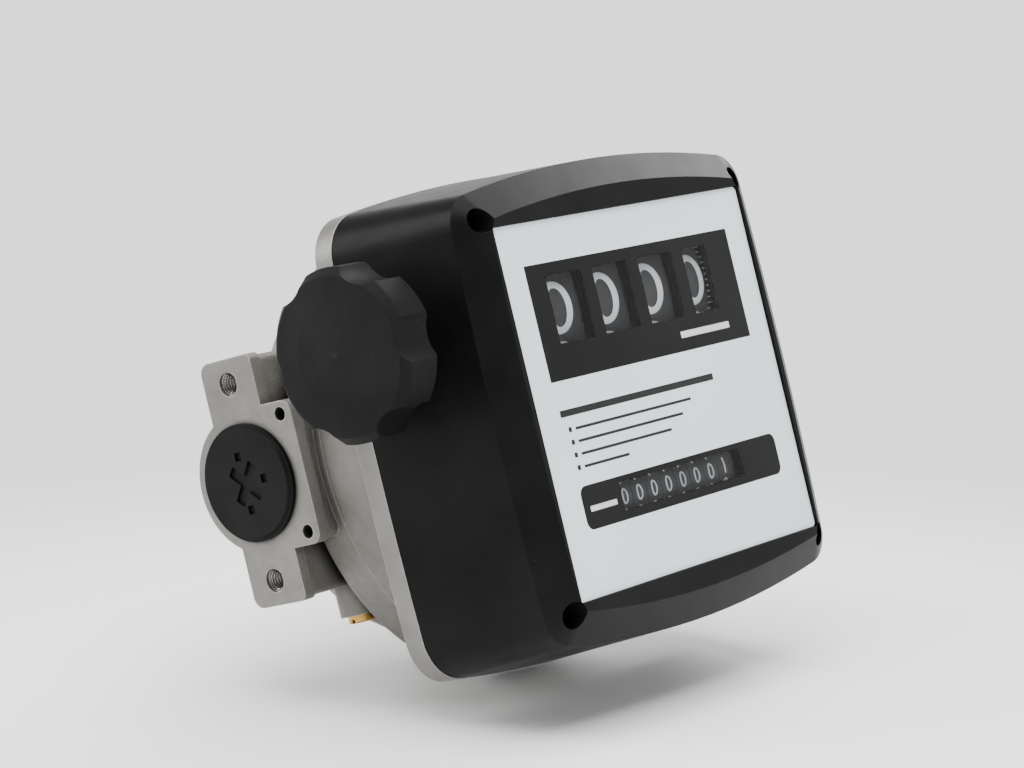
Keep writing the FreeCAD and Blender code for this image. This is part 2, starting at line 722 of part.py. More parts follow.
def make_counter_cover():
    """The drafted hood: bowed outline, sloping front band, dial recess and screw pillars."""
    body = new_body("counter_cover")
    back = new_sketch(body, "back_outline", "XZ", "dims.plate_front")
    crowned_outline(back, 85.3, 81.6, 500, 1400, 16)
    front = new_sketch(body, "front_outline", "XZ", "dims.cover_front")
    crowned_outline(front, 80.5, 77.8, 450, 1200, 11.6)
    rim = new_sketch(body, "rim_outline", "XZ", "dims.cover_rim")
    crowned_outline(rim, 69.5, 67.8, 440, 1200, 1.5)
    loft("Additive", "hood", back, front)
    loft("Additive", "band", front, rim)
    inner_back = new_sketch(body, "inner_back", "XZ", "dims.plate_front")
    crowned_outline(inner_back, 81.4, 77.7, 500, 1400, 12)
    inner_front = new_sketch(body, "inner_front", "XZ", "dims.cover_inner_front")
    crowned_outline(inner_front, 77, 74.3, 450, 1200, 8)
    loft("Subtractive", "hollow", inner_back, inner_front)
    pillars = new_sketch(body, "pillars", "XZ", "dims.plate_front")
    four_circles(pillars, 6.4, "dims.cover_screw_x", "dims.cover_screw_z")
    pad(pillars, "pillar_pad", "dims.cover_inner_front - dims.plate_front + 1")
    recess = new_sketch(body, "recess", "XZ", "dims.cover_rim + 1")
    rectangle(recess, "-dims.glass_half_width - 0.15", "dims.glass_half_width + 0.15",
              "-dims.glass_half_height - 0.15", "dims.glass_half_height + 0.15")
    pocket(recess, "recess_cut", "dims.cover_rim + 1 - dims.glass_back")
    opening = new_sketch(body, "opening", "XZ", "dims.glass_back")
    rectangle(opening, "-dims.glass_half_width + 2.5", "dims.glass_half_width - 2.5",
              "-dims.glass_half_height + 2.5", "dims.glass_half_height - 2.5")
    pocket(opening, "opening_cut", 12)
    heads = new_sketch(body, "counterbores", "XZ", "dims.cover_rim + 1")
    four_circles(heads, 4.1, "dims.cover_screw_x", "dims.cover_screw_z")
    pocket(heads, "counterbore_cut", "dims.cover_rim + 1 - dims.cover_screw_seat")
    shanks = new_sketch(body, "shank_holes", "XZ", "dims.cover_screw_seat")
    four_circles(shanks, 2.75, "dims.cover_screw_x", "dims.cover_screw_z")
    pocket(shanks, "shank_cut", 40)
    knob_hole = new_sketch(body, "knob_hole", "YZ", -90)
    circle(knob_hole, 6, "-dims.counter_station", "dims.counter_height")
    pocket(knob_hole, "knob_hole_cut", 15, True)
    return body


def make_faceplate():
    body = new_body("faceplate")
    sketch = new_sketch(body, "outline", "XZ", "dims.glass_back")
    rectangle(sketch, "-dims.glass_half_width", "dims.glass_half_width",
              "-dims.glass_half_height", "dims.glass_half_height")
    pad(sketch, "glass", "dims.glass_front - dims.glass_back")
    return body


def make_cover_screws():
    screws = []
    for number, (sign_x, sign_z) in enumerate(((1, 1), (-1, 1), (-1, -1), (1, -1)), start=1):
        body = new_body(f"cover_screw_{number}")
        shank = new_sketch(body, "shank", "XZ", "69 - dims.cover_screw_seat")
        circle(shank, 2.45)
        pad(shank, "shank_pad", "dims.cover_screw_seat - 69")
        head = new_sketch(body, "head", "XZ")
        circle(head, 3.9)
        pad(head, "head_pad", 5)
        socket = new_sketch(body, "socket", "XZ", 5)
        circle(socket, 2)
        pocket(socket, "socket_cut", 2.5)
        place(body, f"{sign_x} * dims.cover_screw_x", "-dims.cover_screw_seat",
              f"{sign_z} * dims.cover_screw_z")
        screws.append(body)
    return screws


# ---------------------------------------------------------------- counters and train

COUNTER = (-size("dims.counter_station"), size("dims.counter_height"))
TOTAL = (-size("dims.total_station"), size("dims.total_height"))
CROSS = (-size("dims.cross_station"), size("dims.cross_height"))
LAY = third_shaft(CROSS, COUNTER, 24, 30, 1)
RETURN = third_shaft(LAY, TOTAL, 24, 23.9, 1)
IDLER = third_shaft(RETURN, TOTAL, 18, 18, 1)
CARRY_DISTANCE = 21 * size("dims.carry_module")
CARRY = (COUNTER[0] - 3.7, COUNTER[1] - math.sqrt(CARRY_DISTANCE ** 2 - 3.7 ** 2))
POSTS = ((-80.0, -44.0), (-110.0, 2.0))


def put_shaft(body, point, x=0):
    place(body, x, point[0], point[1])


def make_number_wheels():
    """Wide drums on webs, each with a carry ring on its right and a carry disc on its left."""
    wheels = []
    outer = gear_radii(36, "dims.carry_module")[1]
    for number in range(1, WHEEL_COUNT + 1):
        body = new_body(f"number_wheel_{number}")
        revolve(body, "drum", "XY", "H_Axis", [
            (-11.9, 3.1), (11.9, 3.1), (11.9, 7), (1.2, 7), (1.2, 25.5), (11.9, 25.5),
            (11.9, outer), (9.2, outer), (9.2, "dims.wheel_radius"), (-9.2, "dims.wheel_radius"),
            (-9.2, 27.4), (-11.9, 27.4), (-11.9, 24.5), (-1.2, 24.5), (-1.2, 7), (-11.9, 7)])
        phase = facing_phase(36, heading(COUNTER, CARRY))
        cut_teeth(body, "carry", 11.9, 2.7, 36, "dims.carry_module", phase)
        put_shaft(body, COUNTER, f"{number - 2.5} * dims.wheel_pitch")
        wheels.append(body)
    return wheels


def make_carry_pinions():
    pinions = []
    wheel_phase = facing_phase(36, heading(COUNTER, CARRY))
    phase = meeting_phase(36, wheel_phase, heading(COUNTER, CARRY), 6)
    for number in range(1, WHEEL_COUNT):
        body = new_body(f"carry_pinion_{number}")
        add_gear(body, "pinion", 0, 2.7, 6, "dims.carry_module", phase)
        hub = new_sketch(body, "hub", "YZ")
        circle(hub, 2.9)
        pad(hub, "hub_pad", 5.9)
        bore = new_sketch(body, "bore", "YZ")
        circle(bore, 1.3)
        pocket(bore, "bore_cut", 7, True)
        put_shaft(body, CARRY, f"{number - 2.5} * dims.wheel_pitch + 9.4")
        pinions.append(body)
    return pinions


def make_rod(name, point, radius, left, right):
    body = new_body(name)
    sketch = new_sketch(body, "section", "YZ", left)
    circle(sketch, radius)
    pad(sketch, "rod", right - left)
    put_shaft(body, point)
    return body


def make_counter_gear():
    """The gear that drives the units wheel, on a sleeve through the side plate."""
    body = new_body("counter_gear")
    towards = heading(LAY, COUNTER)
    phase = meeting_phase(10, facing_phase(10, towards), towards, 50)
    add_gear(body, "gear", 54, 4, 50, "dims.train_module", phase)
    sleeve = new_sketch(body, "sleeve", "YZ", 49.2)
    circle(sleeve, 6)
    pad(sleeve, "sleeve_pad", 5)
    bore = new_sketch(body, "bore", "YZ", 49)
    circle(bore, 3.1)
    pocket(bore, "bore_cut", 10, True)
    put_shaft(body, COUNTER)
    return body


def make_cross_shaft():
    body = make_rod("cross_shaft", CROSS, 2.5, -14, 64)
    add_gear(body, "pinion", 59, 4, 16, "dims.train_module", facing_phase(16, heading(CROSS, LAY)))
    return body


def make_worm_wheel():
    body = new_body("worm_wheel")
    add_gear(body, "gear", -2, 4, 20, "dims.train_module", facing_phase(20, 90) + 0.0)
    hub = new_sketch(body, "hub", "YZ", -5)
    circle(hub, 4.5)
    pad(hub, "hub_pad", 10)
    bore = new_sketch(body, "bore", "YZ", -6)
    circle(bore, 2.5)
    pocket(bore, "bore_cut", 12, True)
    put_shaft(body, CROSS)
    return body


def make_lay_shaft():
    body = make_rod("lay_shaft", LAY, 2, 51.2, 70.3)
    add_gear(body, "fast_pinion", 54, 4, 10, "dims.train_module", facing_phase(10, heading(LAY, COUNTER)))
    towards = heading(CROSS, LAY)
    phase = meeting_phase(16, facing_phase(16, towards), towards, 32)
    add_gear(body, "wheel", 59, 4, 32, "dims.train_module", phase)
    add_gear(body, "fine_pinion", 64, 3, 10, "dims.fine_module", facing_phase(10, heading(LAY, RETURN)))
    return body


def make_return_shaft():
    body = make_rod("return_shaft", RETURN, 2, 51.2, 70.3)
    towards = heading(LAY, RETURN)
    phase = meeting_phase(10, facing_phase(10, towards), towards, 50)
    add_gear(body, "wheel", 64, 3, 50, "dims.fine_module", phase)
    add_gear(body, "pinion", 54, 4, 20, "dims.train_module", facing_phase(20, heading(RETURN, IDLER)))
    return body


def idler_phase():
    towards = heading(RETURN, IDLER)
    return meeting_phase(20, facing_phase(20, towards), towards, 16)


def make_idler():
    body = make_rod("total_idler", IDLER, 2, 51.2, 59)
    add_gear(body, "gear", 54, 4, 16, "dims.train_module", idler_phase())
    return body


def make_total_shaft():
    body = make_rod("total_shaft", TOTAL, 2, -53.5, 58.5)
    phase = meeting_phase(16, idler_phase(), heading(IDLER, TOTAL), 20)
    add_gear(body, "gear", 54, 4, 20, "dims.train_module", phase)
    return body


def make_total_wheels():
    wheels = []
    for number in range(1, TOTAL_COUNT + 1):
        bore = 2 if number == TOTAL_COUNT else 2.1
        body = new_body(f"total_wheel_{number}")
        revolve(body, "drum", "XY", "H_Axis", [
            (-3.8, bore), (3.8, bore), (3.8, 4), (0.8, 4), (0.8, 9.4), (3.8, 9.4),
            (3.8, "dims.total_radius"), (-3.8, "dims.total_radius"), (-3.8, 9.4), (-0.8, 9.4),
            (-0.8, 4), (-3.8, 4)])
        put_shaft(body, TOTAL, f"{number - 4.5} * dims.total_pitch")
        wheels.append(body)
    return wheels


def make_total_spacer(name, left, right):
    body = make_rod(name, TOTAL, 4, left, right)
    bore = new_sketch(body, "bore", "YZ", left - 1)
    circle(bore, 2.1)
    pocket(bore, "bore_cut", right - left + 2, True)
    return body


def make_side_plate(name, side, sleeve_radius):
    """A frame cheek standing on the base plate, with two screw feet bent outwards."""
    body = new_body(name)
    start = "dims.side_plate_x" if side > 0 else "-dims.side_plate_x - dims.side_plate_thickness"
    outline = new_sketch(body, "outline", "YZ", start)
    back = "-dims.plate_front"
    polygon(outline, [(back, -56), (-90, -56), (-119.5, -43), (-119.5, -22), (-114, 6), (-103, 20),
                      (-103, 42), (-92, 62), (back, 62)])
    pad(outline, "cheek", "dims.side_plate_thickness")
    feet = new_sketch(body, "feet", "XZ", "dims.plate_front")
    near = 52 if side > 0 else -61.5
    for low in (-56, 53.5):
        rectangle(feet, near, near + 9.5, low, low + 8.5)
    pad(feet, "feet_pad", 1.5)
    holes = new_sketch(body, "holes", "YZ", start)
    circle(holes, sleeve_radius, *COUNTER)
    circle(holes, 2.1, *TOTAL)
    circle(holes, 1.2, *CARRY)
    if side > 0:
        for point in (LAY, RETURN, IDLER):
            circle(holes, 2.1, *point)
    pocket(holes, "hole_cut", 3, True)
    return body


def make_train_plate():
    """The outer bearing plate of the side train, on two posts from the right cheek."""
    body = new_body("train_plate")
    outline = new_sketch(body, "outline", "YZ", 69)
    polygon(outline, [(-76.5, -48), (-96, -48), (-114, -4), (-114, 7), (-104, 9), (-84, 9), (-76.5, 2)])
    pad(outline, "plate", 1.5)
    posts = new_sketch(body, "posts", "YZ", "dims.side_plate_x + dims.side_plate_thickness")
    for point in POSTS:
        circle(posts, 2.4, *point)
    pad(posts, "post_pad", "69.5 - dims.side_plate_x - dims.side_plate_thickness")
    holes = new_sketch(body, "holes", "YZ", 69)
    for point in (LAY, RETURN):
        circle(holes, 2.1, *point)
    pocket(holes, "hole_cut", 3, True)
    return body


def make_bearing_block(name, left):
    body = new_body(name)
    outline = new_sketch(body, "outline", "YZ", left)
    low, high = CROSS[1] - 6, CROSS[1] + 6
    rounded_rectangle(outline, -74.5, -size("dims.web_station"), low, high, (5, 0.5, 0.5, 5))
    pad(outline, "block", 5)
    bore = new_sketch(body, "bore", "YZ", left)
    circle(bore, 2.55, *CROSS)
    pocket(bore, "bore_cut", 6, True)
    return body


# ---------------------------------------------------------------- reset knob


def make_reset_shaft():
    body = make_rod("reset_shaft", COUNTER, 3, -105, 60)
    collar = new_sketch(body, "collar", "YZ", 58.5)
    circle(collar, 5)
    pad(collar, "collar_pad", 2)
    return body


def make_knob_bush():
    body = new_body("knob_bush")
    revolve(body, "bush", "XY", "H_Axis", [
        (-84.6, 3.1), (-76.4, 3.1), (-76.4, 8), (-78.2, 8), (-78.2, 5.95), (-84.6, 5.95)])
    put_shaft(body, COUNTER)
    return body


def make_reset_knob():
    """A six-lobed hand knob with a bevelled, slightly domed face and a hub towards the cover."""
    body = new_body("reset_knob")
    face = "dims.knob_front"
    revolve(body, "blank", "XY", "H_Axis", [
        (-105, 0), (-105, 3), (-85.2, 3), (-85.2, 9), ("dims.knob_back", 10),
        ("dims.knob_back", "dims.knob_radius - 1"), ("dims.knob_back - 1", "dims.knob_radius"),
        (f"{face} + 2.5", "dims.knob_radius"), (face, "dims.knob_radius - 2.5"),
        (f"{face} - 0.7", 16), (f"{face} - 1", 0)])
    scallop = new_sketch(body, "scallop", "YZ", "dims.knob_front - 3")
    circle(scallop, 11.1, "dims.knob_radius + 7.6", 0)
    cut = pocket(scallop, "scallop_cut", 20, True)
    repeat_round(body, "lobes", cut, scallop, 6)
    put_shaft(body, COUNTER)
    return body


def build():
    parts = [make_meter_body(), make_gear_housing(), make_base_plate(), make_body_seal()]
    parts += make_body_screws()
    parts += [make_port_plug("inlet_plug", -1), make_port_plug("outlet_plug", 1),
              make_inlet_strainer(), make_calibration_plug()]
    parts += make_chamber()
    parts += [make_nutating_disc(), make_drive_crank(),
              make_ring("shaft_seal", 7.95, 3.05, 51.2, 3.6),
              make_ring("shaft_bush", 4.98, 3.05, 55, 6.5), make_drive_worm()]
    parts += [make_counter_cover(), make_faceplate()] + make_cover_screws()
    parts += make_number_wheels() + make_carry_pinions()
    parts += [make_rod("carry_rod", CARRY, 1.2, -52.4, 52.4), make_counter_gear(), make_cross_shaft(),
              make_worm_wheel(), make_lay_shaft(), make_return_shaft(), make_idler()]
    parts += [make_total_shaft()] + make_total_wheels()
    parts += [make_total_spacer("total_spacer_left", -50.9, -32.2),
              make_total_spacer("total_spacer_right", 32.2, 50.9)]
    parts += [make_side_plate("side_plate_left", -1, 3.1), make_side_plate("side_plate_right", 1, 6.2),
              make_train_plate(), make_bearing_block("bearing_left", -12.2),
              make_bearing_block("bearing_right", 40)]
    parts += [make_reset_shaft(), make_knob_bush(), make_reset_knob()]
    return parts


def export(parts):
    doc.recompute()
    for item in doc.Objects:
        if "Invalid" in item.State or "Error" in item.State:
            raise RuntimeError(f"{item.Name}: {item.State}")
    for part in parts:
        if part.Shape.isNull() or not part.Shape.isValid() or len(part.Shape.Solids) != 1:
            raise RuntimeError(f"{part.Label}: {len(part.Shape.Solids)} solids")
        part.Shape.exportStep(f"parts/{part.Label}.step")


export(build())
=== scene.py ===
import json
import math
import bmesh
import bpy
from mathutils import Matrix, Vector


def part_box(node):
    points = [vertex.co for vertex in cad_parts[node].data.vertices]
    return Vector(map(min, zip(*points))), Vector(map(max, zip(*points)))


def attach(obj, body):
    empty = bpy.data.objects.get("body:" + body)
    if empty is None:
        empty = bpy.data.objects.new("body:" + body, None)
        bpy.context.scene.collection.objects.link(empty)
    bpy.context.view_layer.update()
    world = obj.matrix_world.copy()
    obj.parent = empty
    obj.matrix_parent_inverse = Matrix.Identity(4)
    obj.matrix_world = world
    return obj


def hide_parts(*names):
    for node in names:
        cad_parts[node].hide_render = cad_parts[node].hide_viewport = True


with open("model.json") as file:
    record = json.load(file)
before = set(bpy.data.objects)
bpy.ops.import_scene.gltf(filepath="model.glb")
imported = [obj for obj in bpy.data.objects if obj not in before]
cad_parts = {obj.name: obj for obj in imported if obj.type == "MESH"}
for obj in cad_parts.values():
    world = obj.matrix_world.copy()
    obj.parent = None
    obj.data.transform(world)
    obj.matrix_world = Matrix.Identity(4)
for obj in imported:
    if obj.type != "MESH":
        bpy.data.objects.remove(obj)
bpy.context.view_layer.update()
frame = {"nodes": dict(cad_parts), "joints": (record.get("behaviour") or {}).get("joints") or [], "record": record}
MM = 0.001
NODES = frame["nodes"]
JOINTS = {joint["name"]: joint for joint in frame["joints"]}
MOUNTS = {mount["name"]: mount for mount in frame["record"]["mounts"]}

# The dial, in millimetres across (X) and up (Z) from the middle of the back face.
PANE_CORNER = 1.6
DISPLAY = (-55.7, 55.7, 8.8, 46.4)
WINDOWS_ACROSS = ((-46.2, -27.8), (-21.8, -3.3), (3.1, 21.7), (28.2, 41.6))
WINDOWS_UP = (20.2, 42.4)
TOTAL_FIELD = (-54.4, 55.2, -39.2, -25.1)
TOTAL_FIELD_CORNER = 3.0
TOTAL_WINDOW = (-34.0, 34.0, -36.3, -27.0)
TOTAL_WINDOW_CORNER = 1.0

# The ruled bars that stand where the real dial has words: left, right, bottom and top, in millimetres.
HEADING_RULE = (-55, 29, -2.6, -0.4)
UNIT_RULE = (17, 45, 13.2, 15.4)
TOTAL_RULE = (-51, -37, -33.6, -31.8)
ROW_BULLET = (-52.6, -51.0)
ROW_START = -49
ROW_WIDTHS = (63, 57, 49, 24)
FIRST_ROW_TOP = -6.0
ROW_PITCH = 4.1
BULLET_HEIGHT = 1.6
ROW_RULE_BELOW_TOP = (1.3, 0.4)
BAR_CORNER = 0.3
BAR_SUNK = 0.01
BAR_PROUD = 0.03

# The counter wheels' numerals, in millimetres: width and offset along the drum.
WHEEL_RADIUS = 31.5
NUMERAL_HEIGHT = 17.5
WIDE_NUMERAL = (14.4, -2.1)
UNITS_NUMERAL = (12.2, -2.3)
NUMERAL_RATIO = 0.62
NUMERAL_ROWS = 12
INK_DEPTH = 0.06
TENTH_MARKS = 100
MARK_HEIGHT = 0.5
LONG_MARK = (2.9, 6.4)
SHORT_MARK = (1.7, 5.8)
TOTAL_RADIUS = 11
TOTAL_NUMERAL_HEIGHT = 5.35
TOTAL_NUMERAL = (3.2, 0)
LAST_TOTAL_READING = 0.9

# The M8 threads and the round-headed frame screws, in millimetres.
THREAD_INSET = 0.8
THREAD_DEPTH = 0.72
THREAD_PITCH = 1.25
THREAD_LENGTH = 12
THREAD_BACKING = 0.02
THREAD_STEPS = 28
SCREW_RADIUS = 2.6
SCREW_SUNK = 1.5
SCREW_FLATNESS = 0.6
SCREW_SLOT = (0.4, 0.35)
SCREW_PLACES = ((57, 57.7), (57, -51.7), (-57, 57.7), (-57, -51.7))

# The studio: the paper floor's rings and fade in metres, and the brightness of walls and ceiling.
FLOOR_RINGS = (0.16, 0.3, 0.48)
FLOOR_STEPS = 72
FLOOR_GAP = 0.0005
FADE_START, FADE_END = 0.15, 0.44
WALL_LEVEL, CEILING_LEVEL = 1.8, 0.5
WALL_TOP, CEILING_EDGE = math.radians(10), math.radians(32)

# The lamps: name, place (right, ahead, up from the aim point), size in metres, and power in watts.
LAMPS = (
    ("top_softbox", (0.1, 0.3, 1.3), (1.6, 1.2), 44),
    ("front_softbox", (0.8, -1.3, 1.0), (0.9, 0.9), 22),
    ("left_fill", (-1.2, 0.1, 0.7), (0.7, 0.9), 16),
)

# The camera: what it aims at, where it stands, how it is rolled, and how the floor lies under it.
AIM = Vector((-6.5, -71.7, 11.6)) * MM
AZIMUTH, ELEVATION, ROLL = math.radians(50.4), math.radians(-0.13), math.radians(13.44)
DISTANCE = 1.05
FOCAL_LENGTH = 109.3
SENSOR_WIDTH = 36
LOOK_DOWN = math.radians(9)


# ---------------------------------------------------------------- material tools

def new_material(name, color, roughness, metallic=0.0, coat=0.0, specular=0.5):
    """A principled material with its even values set on the shader's own sockets."""
    material = bpy.data.materials.new(name)
    material.use_nodes = True
    shader = material.node_tree.nodes["Principled BSDF"]
    shader.inputs["Base Color"].default_value = (*color, 1)
    shader.inputs["Roughness"].default_value = roughness
    shader.inputs["Metallic"].default_value = metallic
    shader.inputs["Coat Weight"].default_value = coat
    shader.inputs["Coat Roughness"].default_value = 0.12
    shader.inputs["Specular IOR Level"].default_value = specular
    return material


def node(material, kind, **settings):
    """Adds a node; each setting is the value of an input socket or else a property."""
    item = material.node_tree.nodes.new(kind)
    for name, setting in settings.items():
        if name in item.inputs:
            item.inputs[name].default_value = setting
        else:
            setattr(item, name, setting)
    return item


def link(material, source, target):
    material.node_tree.links.new(source, target)


def shader_of(material):
    return material.node_tree.nodes["Principled BSDF"]


def surface_of(material):
    return material.node_tree.nodes["Material Output"].inputs["Surface"]


def place_texture(material, kind, scale, stretch=(1, 1, 1), **settings):
    """A texture laid over the object in the object's own frame; scale is in features per metre."""
    coordinates = node(material, "ShaderNodeTexCoord")
    mapping = node(material, "ShaderNodeMapping")
    mapping.inputs["Scale"].default_value = stretch
    texture = node(material, kind, Scale=scale, **settings)
    link(material, coordinates.outputs["Object"], mapping.inputs["Vector"])
    link(material, mapping.outputs["Vector"], texture.inputs["Vector"])
    return texture


def ramp(material, source, low, high, first, second):
    """A two-stop ramp between two grey levels or colours."""
    item = node(material, "ShaderNodeValToRGB")
    stops = item.color_ramp.elements
    stops[0].position = low
    stops[1].position = high
    stops[0].color = (*first, 1)
    stops[1].color = (*second, 1)
    link(material, source, item.inputs["Fac"])
    return item.outputs["Color"]


def grey(level):
    return (level, level, level)


def vary_color(material, scale, first, second):
    """Lets the base colour drift between two colours."""
    noise = place_texture(material, "ShaderNodeTexNoise", scale, Detail=5.0)
    color = ramp(material, noise.outputs["Fac"], 0.35, 0.65, first, second)
    link(material, color, shader_of(material).inputs["Base Color"])


def vary_roughness(material, scale, low_value, high_value):
    """Lets the roughness drift between two values."""
    noise = place_texture(material, "ShaderNodeTexNoise", scale, Detail=4.0)
    level = ramp(material, noise.outputs["Fac"], 0.35, 0.65, grey(low_value), grey(high_value))
    link(material, level, shader_of(material).inputs["Roughness"])


def add_bump(material, height, strength, distance):
    """Adds one more layer of relief over the relief that the shader already has."""
    shader = shader_of(material)
    bump = node(material, "ShaderNodeBump", Strength=strength, Distance=distance * MM)
    link(material, height, bump.inputs["Height"])
    previous = shader.inputs["Normal"].links
    if previous:
        link(material, previous[0].from_socket, bump.inputs["Normal"])
    link(material, bump.outputs["Normal"], shader.inputs["Normal"])


def grain(material, scale, strength, distance, detail=3.0):
    """Fine noise relief, its distance in millimetres."""
    noise = place_texture(material, "ShaderNodeTexNoise", scale, Detail=detail)
    add_bump(material, noise.outputs["Fac"], strength, distance)


def soften_edges(material, radius):
    """Rounds sharp edges in the shading, as moulding and tumbling leave them."""
    bevel = node(material, "ShaderNodeBevel", Radius=radius * MM)
    link(material, bevel.outputs["Normal"], shader_of(material).inputs["Normal"])


def edge_mask(material, radius):
    """White along edges, from how far a bevelled normal leans from the true one: the mask for painted highlights
    along edges.
    """
    bevel = node(material, "ShaderNodeBevel", Radius=radius * MM)
    geometry = node(material, "ShaderNodeNewGeometry")
    product = node(material, "ShaderNodeVectorMath", operation="DOT_PRODUCT")
    link(material, bevel.outputs["Normal"], product.inputs[0])
    link(material, geometry.outputs["Normal"], product.inputs[1])
    return ramp(material, product.outputs["Value"], 0.90, 0.995, grey(1.0), grey(0.0))


def mix_over(material, mask, color):
    """Lays a colour over the base colour where the mask is white."""
    shader = shader_of(material)
    mix = node(material, "ShaderNodeMix", data_type="RGBA")
    mix.inputs["B"].default_value = (*color, 1)
    current = shader.inputs["Base Color"]
    if current.links:
        link(material, current.links[0].from_socket, mix.inputs["A"])
    else:
        mix.inputs["A"].default_value = current.default_value
    link(material, mask, mix.inputs["Factor"])
    link(material, mix.outputs["Result"], current)


def darken_crevices(material, reach, depth, color=(0.012, 0.011, 0.010)):
    """Painted shade in holes and inner corners: the colour is darkened by how much each point is closed in."""
    closed_in = node(material, "ShaderNodeAmbientOcclusion", Distance=reach * MM)
    mask = ramp(material, closed_in.outputs["AO"], 0.25, 0.85, grey(depth), grey(0.0))
    mix_over(material, mask, color)


# ---------------------------------------------------------------- materials

def scattered_pits(material):
    """Height for shallow casting pits, kept to patches of the surface."""
    pits = place_texture(material, "ShaderNodeTexVoronoi", 260)
    holes = ramp(material, pits.outputs["Distance"], 0.05, 0.16, grey(0.0), grey(1.0))
    patches = place_texture(material, "ShaderNodeTexNoise", 70, Detail=2.0)
    clear = ramp(material, patches.outputs["Fac"], 0.60, 0.66, grey(1.0), grey(0.0))
    height = node(material, "ShaderNodeMath", operation="MAXIMUM")
    link(material, holes, height.inputs[0])
    link(material, clear, height.inputs[1])
    return height.outputs["Value"]


def cast_alloy():
    """Tumbled aluminium casting: grey skin, pits, painted highlights along the edges and painted shade in holes
    and corners.
    """
    material = new_material("cast_alloy", (0.17, 0.163, 0.148), 0.5, metallic=0.5)
    soften_edges(material, 1.1)
    vary_color(material, 45, (0.148, 0.142, 0.129), (0.182, 0.175, 0.160))
    vary_roughness(material, 300, 0.46, 0.66)
    add_bump(material, scattered_pits(material), 0.5, 0.18)
    grain(material, 900, 0.8, 0.22)
    grain(material, 2600, 0.8, 0.10)
    # Painted highlight: a lighter colour laid along every edge.
    mix_over(material, edge_mask(material, 0.5), (0.50, 0.49, 0.45))
    # Painted shade: holes and inner corners darkened.
    darken_crevices(material, 7, 0.95)
    return material


def machined_alloy():
    """Milled plate: fine tool lines, grain and painted highlights along its edges."""
    material = new_material("machined_alloy", (0.16, 0.154, 0.140), 0.42, metallic=0.6)
    soften_edges(material, 0.3)
    lines = place_texture(material, "ShaderNodeTexNoise", 90, stretch=(1, 60, 1), Detail=3.0)
    add_bump(material, lines.outputs["Fac"], 0.25, 0.05)
    vary_color(material, 60, (0.135, 0.130, 0.118), (0.178, 0.171, 0.156))
    grain(material, 1100, 0.7, 0.16)
    # Painted highlight: a lighter colour laid along every edge.
    mix_over(material, edge_mask(material, 0.35), (0.5, 0.49, 0.46))
    return material


def turned_metal(name, color, rough):
    """Plain turned or plated metal with a mottled tone."""
    material = new_material(name, color, rough, metallic=1.0)
    soften_edges(material, 0.15)
    brighter = tuple(min(1.0, channel * 1.2) for channel in color)
    darker = tuple(channel * 0.75 for channel in color)
    vary_color(material, 260, darker, brighter)
    grain(material, 2600, 0.2, 0.03)
    return material


def thread_metal():
    """Painted light on the threads: a dark base for the shade in the hole, painted highlights on the crests and
    painted shade darkening the flanks to the roots.
    """
    # The dark base colour stands for the shade inside the tapped hole.
    material = new_material("thread_metal", (0.085, 0.083, 0.077), 0.26, metallic=1.0)
    # Painted highlight on the thread crests.
    mix_over(material, edge_mask(material, 0.15), (0.72, 0.71, 0.67))
    # Painted shade on the flanks and roots.
    darken_crevices(material, 1.8, 1.0)
    return material


def scatter_dust(material):
    """Small pale specks, kept to patches of the surface."""
    dust = place_texture(material, "ShaderNodeTexVoronoi", 420)
    specks = ramp(material, dust.outputs["Distance"], 0.03, 0.06, grey(1.0), grey(0.0))
    patches = place_texture(material, "ShaderNodeTexNoise", 38, Detail=3.0)
    where = ramp(material, patches.outputs["Fac"], 0.58, 0.70, grey(0.0), grey(0.35))
    mask = node(material, "ShaderNodeMath", operation="MULTIPLY")
    link(material, specks, mask.inputs[0])
    link(material, where, mask.inputs[1])
    mix_over(material, mask.outputs["Value"], (0.32, 0.31, 0.29))


def moulded(name, color, rough, grain_scale=1800, grain_depth=0.02, specular=0.5, edge=0.35, swing=0.05):
    """Moulded plastic: a slight colour drift, fine skin grain, scattered dust and rounded edges."""
    material = new_material(name, color, rough, specular=specular)
    soften_edges(material, edge)
    lighter = tuple(min(1.0, channel * 1.25 + 0.002) for channel in color)
    vary_color(material, 35, tuple(channel * 0.85 for channel in color), lighter)
    vary_roughness(material, 120, rough - swing, rough + swing)
    grain(material, grain_scale, 0.3, grain_depth)
    scatter_dust(material)
    return material


def plug_plastic():
    """Dull moulded plastic, with painted shade blackening its recesses."""
    material = moulded("grey_plastic", (0.0045, 0.0048, 0.0048), 0.5, grain_depth=0.03, specular=0.07)
    # Painted shade: the recesses darkened to near black.
    darken_crevices(material, 5, 1.0, (0.0002, 0.0002, 0.0002))
    return material


def dial_print():
    """Pale print under the pane's hard gloss."""
    material = new_material("dial_print", (0.66, 0.76, 0.79), 0.10, coat=0.5)
    vary_color(material, 14, (0.63, 0.735, 0.765), (0.70, 0.785, 0.81))
    grain(material, 40, 0.04, 0.05, detail=1.0)
    return material


def flat_ink():
    """Thin dark ink on the print: nearly even, with a faint grain."""
    material = new_material("dark_ink", (0.006, 0.006, 0.007), 0.35, specular=0.2)
    vary_color(material, 400, (0.005, 0.005, 0.006), (0.009, 0.009, 0.010))
    grain(material, 1500, 0.1, 0.01)
    return material


def dark_print():
    """Black print under the pane's hard gloss."""
    material = new_material("dark_print", (0.003, 0.003, 0.0035), 0.07, specular=0.1)
    vary_color(material, 20, (0.003, 0.003, 0.0035), (0.006, 0.006, 0.0065))
    grain(material, 30, 0.04, 0.05, detail=1.0)
    return material


